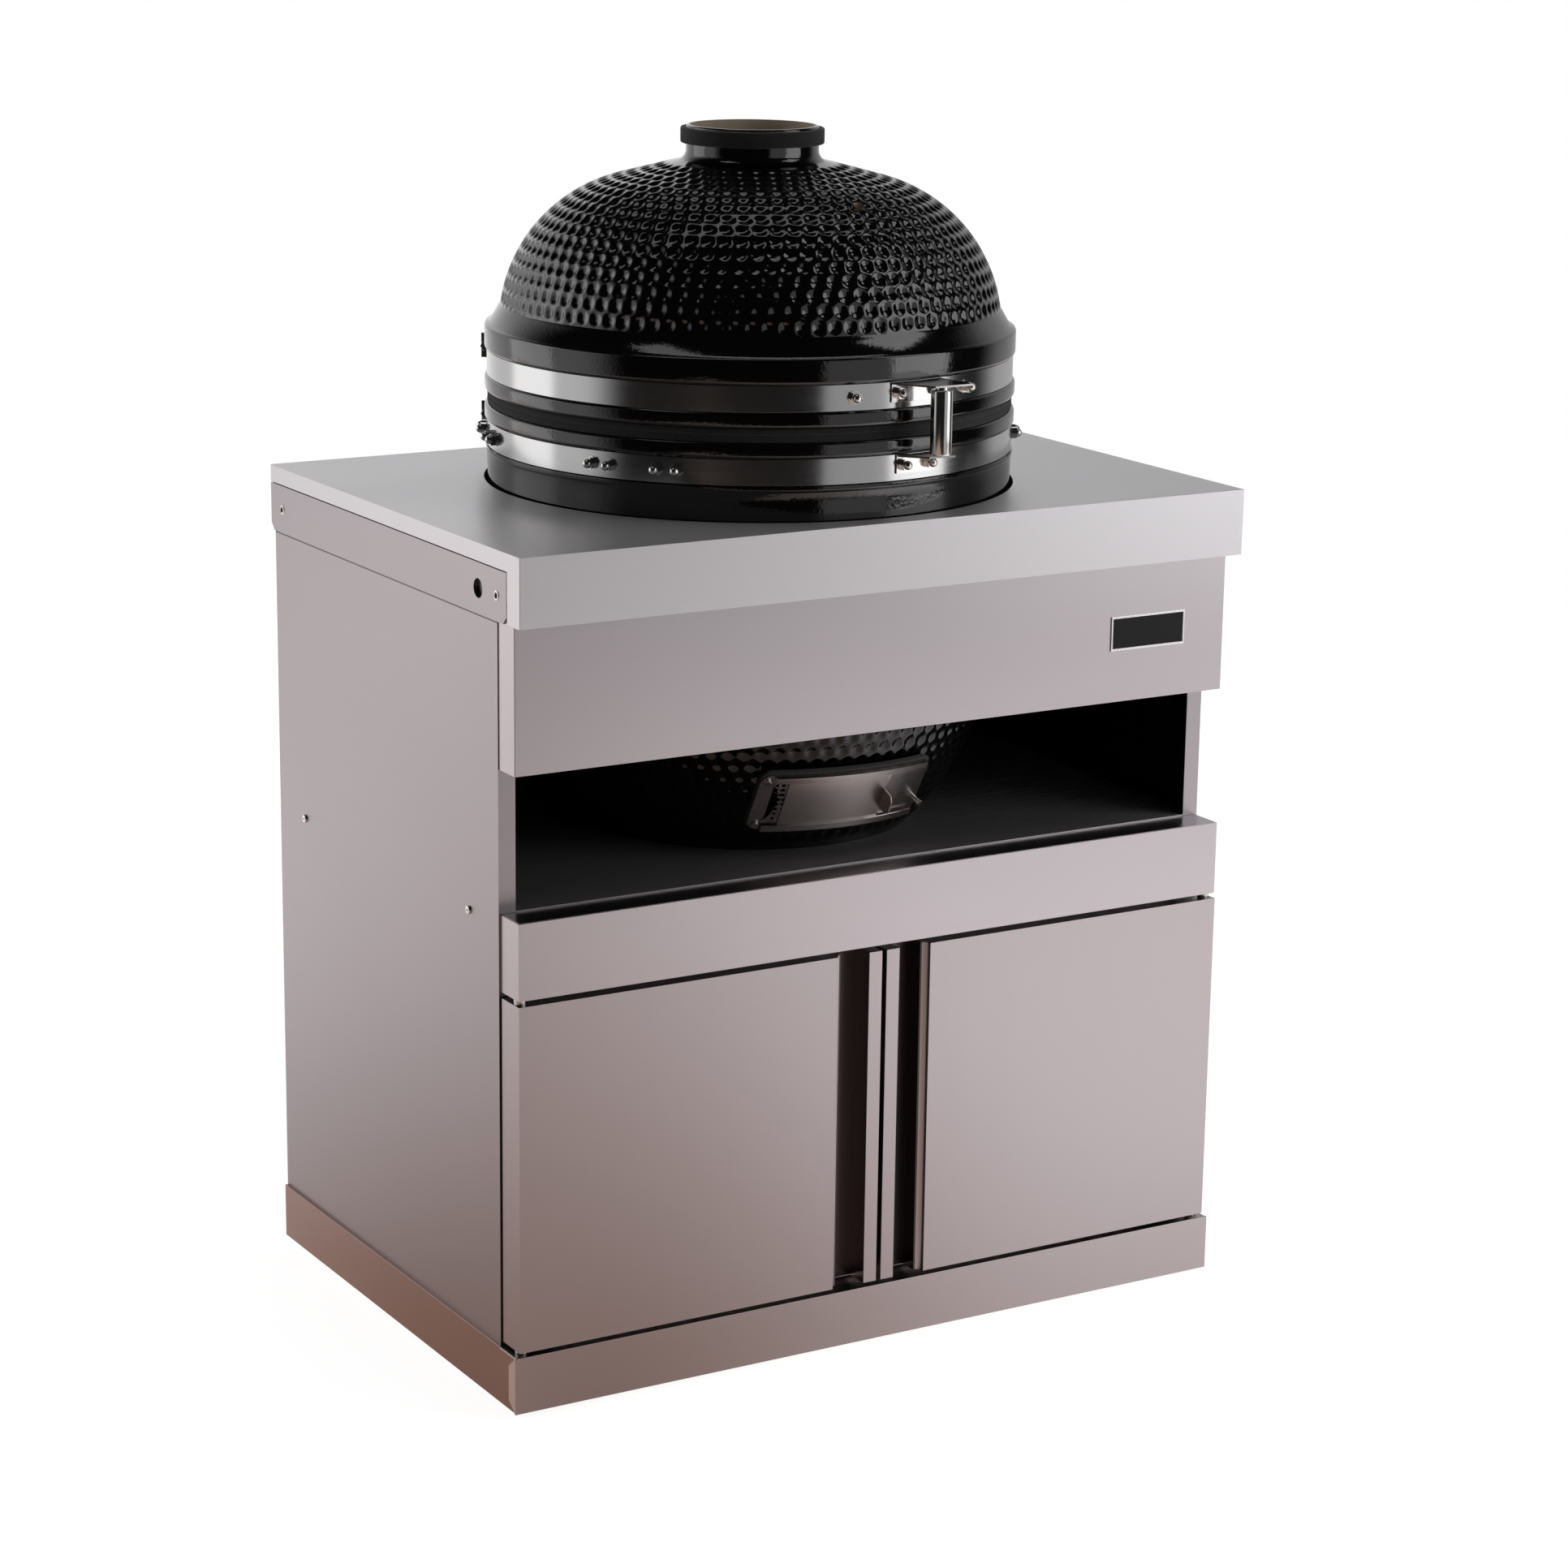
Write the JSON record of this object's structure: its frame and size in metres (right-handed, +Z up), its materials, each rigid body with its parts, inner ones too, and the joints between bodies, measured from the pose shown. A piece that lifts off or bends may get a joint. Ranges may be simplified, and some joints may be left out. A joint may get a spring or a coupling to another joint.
{
  "type": "kamado grill table",
  "caption": "Stainless steel outdoor kitchen cabinet with an open niche and two doors, holding a dimpled black ceramic kamado grill through its worktop.",
  "frame": {"origin": "on the floor under the middle of the whole table, the hinge at its back counted in", "axes": "+X to the right seen from the front, +Y to the back, +Z up; the doors face -Y"},
  "size_m": [0.896, 0.6757, 1.3085],
  "materials": {
    "worktop_steel": "fine brushed",
    "cabinet_steel": "horizontally brushed",
    "polished_steel": "bright, softly polished",
    "fastener_steel": "bright",
    "spring_steel": "drawn wire",
    "glazed_ceramic": "black gloss glaze over dimples",
    "fire_clay": "unglazed",
    "felt": "dense heat-proof felt",
    "grate_iron": "cast",
    "grate_steel": "drawn rod",
    "magnet": "plated"
  },
  "bodies": {
    "cabinet": {"back_panel": "cabinet_steel", "badge_plate": "cabinet_steel", "base_band": "polished_steel", "base_band_nuts": "fastener_steel", "base_clamp_bolts": "fastener_steel", "base_gasket": "felt", "bowl": "glazed_ceramic", "cabinet_floor": "cabinet_steel", "catch_magnets": "magnet", "charcoal_grate": "grate_iron", "cooking_grate": "grate_steel", "draft_felt": "felt", "draft_frame": "polished_steel", "draft_screws": "fastener_steel", "fire_box": "fire_clay", "fire_ring": "fire_clay", "foot_plates": "cabinet_steel", "hinge_base_bracket": "polished_steel", "hinge_pin": "fastener_steel", "hinge_spring_left": "spring_steel", "hinge_spring_right": "spring_steel", "ledge_rail": "cabinet_steel", "levelling_feet": "fastener_steel", "niche_shelf": "cabinet_steel", "plinth_back": "cabinet_steel", "plinth_front": "cabinet_steel", "plinth_left": "cabinet_steel", "plinth_right": "cabinet_steel", "shelf_screws": "fastener_steel", "shelf_stiffeners": "cabinet_steel", "side_panel_left": "cabinet_steel", "side_panel_right": "cabinet_steel", "side_plate_left": "cabinet_steel", "side_plate_right": "cabinet_steel", "side_plate_screws": "fastener_steel", "stop_bracket": "polished_steel", "valance": "cabinet_steel", "worktop": "worktop_steel", "worktop_angles": "cabinet_steel"},
    "lid_group": {"lid": "glazed_ceramic", "lid_band": "polished_steel", "lid_band_nuts": "fastener_steel", "lid_clamp_bolts": "fastener_steel", "lid_gasket": "felt", "lift_bracket": "polished_steel", "lift_grip": "polished_steel", "chimney_gasket": "felt", "hinge_lid_bracket": "polished_steel"},
    "left_door": {"door_left": "cabinet_steel", "door_liner_left": "cabinet_steel", "door_pins_left": "fastener_steel"},
    "right_door": {"door_right": "cabinet_steel", "door_liner_right": "cabinet_steel", "door_pins_right": "fastener_steel"},
    "solid_slide": {"draft_slide": "polished_steel"},
    "screen_slide": {"draft_screen": "polished_steel"}
  },
  "joints": [
    {"name": "lid_hinge", "type": "hinge", "parent": "cabinet", "child": "lid_group", "pos_m": [-0.039, 0.31359, 1.008], "axis": [-0.9925, -0.1219, 0], "range_deg": [0, 75], "stiffness_Nm_per_rad": 22, "springref_deg": 89.95, "deforming": ["hinge_spring_left", "hinge_spring_right"]},
    {"name": "left_door_hinge", "type": "hinge", "parent": "cabinet", "child": "left_door", "pos_m": [-0.432, -0.29503, 0.264], "axis": [0, 0, -1], "range_deg": [0, 110]},
    {"name": "right_door_hinge", "type": "hinge", "parent": "cabinet", "child": "right_door", "pos_m": [0.432, -0.29503, 0.264], "axis": [0, 0, 1], "range_deg": [0, 110]},
    {"name": "draft_slide_turn", "type": "hinge", "parent": "cabinet", "child": "solid_slide", "pos_m": [0, -0.00403, 0.61], "axis": [0, 0, 1], "range_deg": [0, 9.5]},
    {"name": "draft_screen_turn", "type": "hinge", "parent": "cabinet", "child": "screen_slide", "pos_m": [0, -0.00403, 0.61], "axis": [0, 0, 1], "range_deg": [0, 5]}
  ]
}
